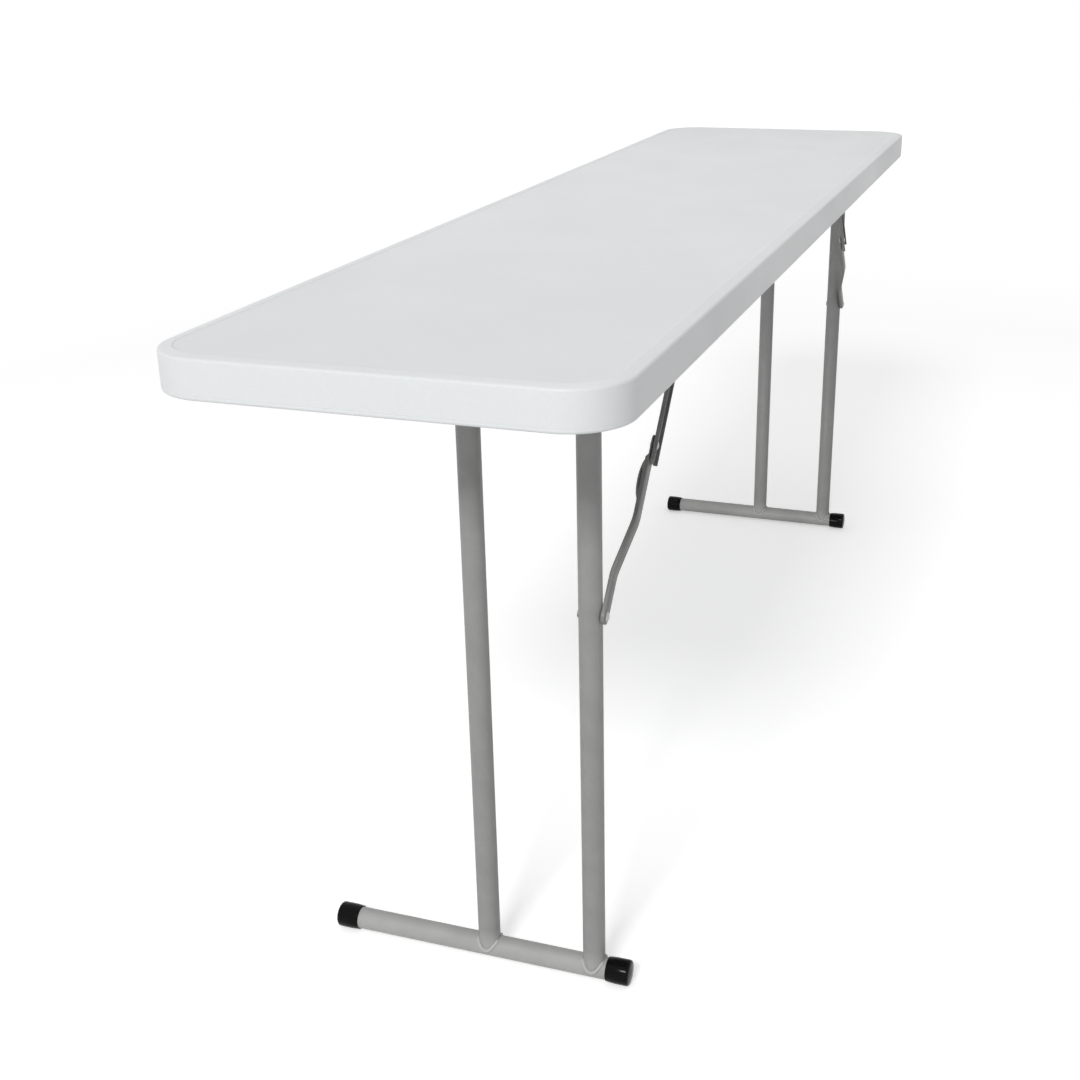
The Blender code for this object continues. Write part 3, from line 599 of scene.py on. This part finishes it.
def sweep(bm, path, radii):
    """A round bead of changing radius along a path of points, closed at both ends."""
    rings = []
    normal = None
    for index, point in enumerate(path):
        before = path[max(index - 1, 0)]
        after = path[min(index + 1, len(path) - 1)]
        tangent = (after - before).normalized()
        if normal is None:
            normal = tangent.orthogonal().normalized()
        normal = (normal - tangent * normal.dot(tangent)).normalized()
        across = tangent.cross(normal)
        ring = []
        for side in range(BEAD_SIDES):
            turn = math.tau * side / BEAD_SIDES
            offset = radii[index] * (math.cos(turn) * normal + math.sin(turn) * across)
            ring.append(bm.verts.new(point + offset))
        rings.append(ring)
    for first, second in zip(rings, rings[1:]):
        join_rings(bm, first, second)
    bm.faces.new(rings[0])
    bm.faces.new(rings[-1])


def bead_radii(path, seed, fade):
    """Weld bead radii with the small humps of one puddle after another."""
    radii = []
    travelled = 0.0
    for index, point in enumerate(path):
        if index:
            travelled += (point - path[index - 1]).length
        hump = HUMP_SHARE * math.cos(math.tau * travelled / HUMP_LENGTH)
        drift = DRIFT_SHARE * noise.noise(Vector((travelled * DRIFT_SCALE, seed, 0.0)))
        from_end = min(index, len(path) - 1 - index, fade) / fade
        thinned = BEAD_END_SHARE + (1 - BEAD_END_SHARE) * from_end
        radii.append(WELD_RADIUS * (1.0 + hump + drift) * thinned)
    return radii


def foot_weld_path(leg_x, leg_y, foot_z, facing):
    """A bead that sags along one side of a leg, where its end sits over the foot tube."""
    reach = LEG_RADIUS + FOOT_WELD_GAP
    path = []
    for step in range(FOOT_WELD_STEPS + 1):
        turn = math.radians(-FOOT_WELD_TURN + 2 * FOOT_WELD_TURN * step / FOOT_WELD_STEPS)
        aside = abs(math.sin(turn))
        bend = FOOT_WELD_CURVE * aside
        rise = aside * bend / (1 + bend**FOOT_WELD_CORNER) ** (1 / FOOT_WELD_CORNER)
        out = max(math.sqrt(1 - rise**2), math.cos(turn))
        x = leg_x + facing * reach * out
        path.append(Vector((x, leg_y + reach * math.sin(turn), foot_z + reach * rise)))
    return path


def pivot_weld_path(leg_x, leg_y, hinge_z, facing):
    """A short bead on one side of the pivot tube, where a leg's end cups it."""
    reach = LEG_RADIUS + PIVOT_WELD_GAP
    path = []
    for step in range(PIVOT_WELD_STEPS + 1):
        turn = math.radians(PIVOT_WELD_START + PIVOT_WELD_SWEEP * step / PIVOT_WELD_STEPS) * facing
        x = LEG_RADIUS * math.cos(turn)
        z = -math.sqrt(PIVOT_RADIUS**2 - x**2)
        path.append(Vector((leg_x + x, leg_y + reach * math.sin(turn), hinge_z + z)))
    return path


def make_weld(name, body, bead_path, place, fade, seed, material):
    """Two beads, one on each side. The seed keeps the welds from looking alike."""
    bm = bmesh.new()
    for facing in (1, -1):
        path = bead_path(*place, facing)
        sweep(bm, path, bead_radii(path, seed + facing, fade))
    new_object(name, bm, material, body)


def make_welds(material):
    for index, end in enumerate(ENDS):
        body = end + "_leg_frame"
        foot_low, foot_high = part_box(end + "_foot_tube")
        pivot_low, pivot_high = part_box(end + "_pivot_tube")
        foot_z = (foot_low.z + foot_high.z) / 2
        hinge_z = (pivot_low.z + pivot_high.z) / 2
        for number, leg in enumerate(("outer", "inner")):
            low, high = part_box(f"{end}_{leg}_leg_tube")
            x, y = (low.x + high.x) / 2, (low.y + high.y) / 2
            name = f"{end}_{leg}"
            seed = 10.0 * index + 3.0 * number
            foot = foot_weld_path, (x, y, foot_z), FOOT_WELD_FADE, seed
            pivot = pivot_weld_path, (x, y, hinge_z), PIVOT_WELD_FADE, seed + 50
            make_weld(name + "_foot_weld", body, *foot, material)
            make_weld(name + "_pivot_weld", body, *pivot, material)


def make_tab_shade_sheet(end, material, group):
    """A sheet behind the slot in a lower link's thumb tab, put there so that the slot shows dark shade
    instead of the floor through it.
    """
    leg_low, leg_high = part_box(end + "_leg_rivet")
    joint_low, joint_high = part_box(end + "_joint_rivet")
    link_low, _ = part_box(end + "_lower_brace_link")
    start = (leg_low + leg_high) / 2
    along = (joint_low + joint_high) / 2 - start
    start.y = along.y = 0.0
    length = along.length
    along.normalize()
    across = Vector((-along.z, 0.0, along.x))
    if across.z < 0:
        across.negate()
    outer = LINK_WIDTH / 2 - LINK_SHEET - SHADE_SHEET_GAP
    root_y = link_low.y + LINK_SHEET - SHADE_SHEET_ROOT
    rings = []
    bm = bmesh.new()
    for step in range(SHADE_SHEET_STATIONS + 1):
        share = SHADE_SHEET_START_SHARE + SHADE_SHEET_SHARE * step / SHADE_SHEET_STATIONS
        crown = math.sin(math.pi * share) ** 0.5
        tip_y = link_low.y + LINK_FLANGE + (TAB_DEPTH - LINK_FLANGE) * crown - SHADE_SHEET_SETBACK
        point = start + along * length * (TAB_START_SHARE + TAB_SHARE * share)
        ring = []
        for side, y in (
            (0.0, root_y),
            (0.0, tip_y - SHADE_SHEET_BEVEL),
            (SHADE_SHEET_BEVEL, tip_y),
            (SHADE_SHEET_THICKNESS - SHADE_SHEET_BEVEL, tip_y),
            (SHADE_SHEET_THICKNESS, tip_y - SHADE_SHEET_BEVEL),
            (SHADE_SHEET_THICKNESS, root_y),
        ):
            place = point + across * (outer - side)
            ring.append(bm.verts.new((place.x, y, place.z)))
        rings.append(ring)
    for first, second in zip(rings, rings[1:]):
        join_rings(bm, first, second)
    bm.faces.new(rings[0])
    bm.faces.new(rings[-1])
    piece = new_object(end + "_tab_shade_sheet", bm, material, end + "_lower_link")
    shade_by_angle(piece, group)


def seen_directly(tree, otherwise, seen_value):
    """seen_value for rays from the camera, a mirror or glass, and otherwise for rays that light things."""
    path = add_node(tree, "ShaderNodeLightPath")
    total = path.outputs["Is Camera Ray"]
    for name in ("Is Glossy Ray", "Is Transmission Ray"):
        either = {0: total, 1: path.outputs[name]}
        total = add_node(tree, "ShaderNodeMath", either, operation="MAXIMUM").outputs[0]
    levels = {"Value": total, "To Min": otherwise, "To Max": seen_value}
    return add_node(tree, "ShaderNodeMapRange", levels).outputs[0]


def floor_material():
    """Pale, lifted towards white where it is seen, and clear from below."""
    material = bpy.data.materials.new("floor_white")
    material.use_nodes = True
    tree = material.node_tree
    tree.nodes.clear()
    place = add_node(tree, "ShaderNodeTexCoord").outputs["Object"]
    distance = add_node(tree, "ShaderNodeVectorMath", {0: place}, operation="LENGTH").outputs["Value"]
    levels = {
        "Value": distance,
        "From Min": FAR_FLOOR[0],
        "From Max": FAR_FLOOR[1],
        "To Min": FLOOR_LIFT,
        "To Max": FAR_FLOOR_LIFT,
    }
    lift = seen_directly(tree, 0.0, add_node(tree, "ShaderNodeMapRange", levels).outputs[0])
    diffuse = add_node(tree, "ShaderNodeBsdfDiffuse", {"Color": FLOOR_COLOUR}).outputs[0]
    glow = add_node(tree, "ShaderNodeEmission", {"Color": WHITE, "Strength": lift}).outputs[0]
    pale = add_node(tree, "ShaderNodeAddShader", {0: diffuse, 1: glow}).outputs[0]
    from_below = add_node(tree, "ShaderNodeNewGeometry").outputs["Backfacing"]
    clear = add_node(tree, "ShaderNodeBsdfTransparent").outputs[0]
    surface = add_node(tree, "ShaderNodeMixShader", {0: from_below, 1: pale, 2: clear}).outputs[0]
    add_node(tree, "ShaderNodeOutputMaterial", {"Surface": surface})
    return material


def make_floor():
    """A pale floor just below the feet, which keeps the shadow."""
    half = FLOOR_HALF_SIZE
    bm = bmesh.new()
    corners = ((-half, -half), (half, -half), (half, half), (-half, half))
    bm.faces.new([bm.verts.new((x, y, -FLOOR_GAP)) for x, y in corners])
    mesh = bpy.data.meshes.new("floor")
    bm.to_mesh(mesh)
    bm.free()
    floor = bpy.data.objects.new("floor", mesh)
    SCENE.collection.objects.link(floor)
    mesh.materials.append(floor_material())


def make_world():
    """Soft light, a little stronger from above and the left end. It looks white past the floor's edge."""
    world = bpy.data.worlds.new("studio")
    world.use_nodes = True
    tree = world.node_tree
    direction = add_node(tree, "ShaderNodeTexCoord").outputs["Generated"]
    sides = {0: direction, 1: WORLD_SLOPE}
    slope = add_node(tree, "ShaderNodeVectorMath", sides, operation="DOT_PRODUCT").outputs["Value"]
    level = add_node(tree, "ShaderNodeMath", {0: slope, 1: WORLD_LIGHT}, operation="ADD").outputs[0]
    background = tree.nodes["Background"]
    background.inputs["Color"].default_value = WHITE
    tree.links.new(seen_directly(tree, level, 1.0), background.inputs["Strength"])
    SCENE.world = world


def area_light(name, place, target, size, power, only=()):
    """A soft lamp that the camera doesn't see. It lights everything, or only the given objects."""
    light = bpy.data.lights.new(name, "AREA")
    light.shape = "RECTANGLE"
    light.size, light.size_y = size
    light.energy = power
    obj = bpy.data.objects.new(name, light)
    obj.location = place
    obj.rotation_euler = (Vector(target) - Vector(place)).to_track_quat("-Z", "Y").to_euler()
    obj.visible_camera = False
    if only:
        obj.light_linking.receiver_collection = bpy.data.collections.new(name + "_receivers")
        for lit in only:
            obj.light_linking.receiver_collection.objects.link(lit)
    SCENE.collection.objects.link(obj)


def make_lamps():
    """A key lamp from the left end, a weak one overhead, and a small low one for the far leg frame alone."""
    area_light("key", **KEY_LAMP)
    area_light("overhead", **OVERHEAD_LAMP)
    far_frame = [obj for obj in SCENE.objects if obj.name.startswith("right_") and "anchor" not in obj.name]
    area_light("low_fill", **LOW_LAMP, only=far_frame)


SCENE.view_settings.view_transform = "Standard"
make_camera()
MATERIALS = make_materials()
SMOOTHING = smoothing_group()
dress(SMOOTHING, MATERIALS)
make_moulding(MATERIALS["white_plastic"])
# The beads' paler coat is a painted highlight
make_welds(MATERIALS["bead_highlight_paint"])
for table_end in ENDS:
    # Each sheet behind a tab's slot is there only to make the slot show dark shade
    make_tab_shade_sheet(table_end, MATERIALS["brace_shade_paint"], SMOOTHING)
make_floor()
make_world()
make_lamps()
